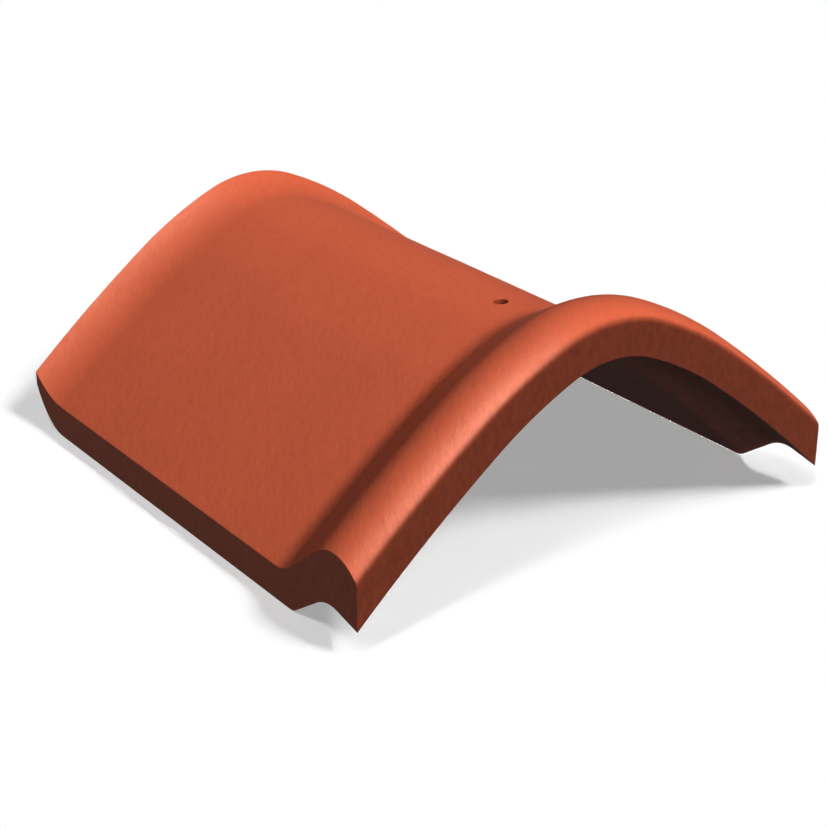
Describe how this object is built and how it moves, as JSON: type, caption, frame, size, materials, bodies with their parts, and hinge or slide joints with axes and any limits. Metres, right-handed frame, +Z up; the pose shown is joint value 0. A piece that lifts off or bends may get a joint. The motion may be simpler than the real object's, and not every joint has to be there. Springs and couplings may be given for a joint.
{
  "type": "ridge tile",
  "caption": "Arched concrete ridge tile with a rounded collar and socket at one end, an upturned lip at the other and a nail hole in the crown, for capping a tiled roof.",
  "frame": {"origin": "on the floor that the tile lies on, midway between its four lower corners", "axes": "+X along the ridge towards the collar end, +Y across the roof, +Z up"},
  "size_m": [0.333, 0.3, 0.1377],
  "materials": {
    "coated_concrete": "satin"
  },
  "bodies": {
    "root": {"ridge_tile": "coated_concrete"}
  },
  "joints": []
}
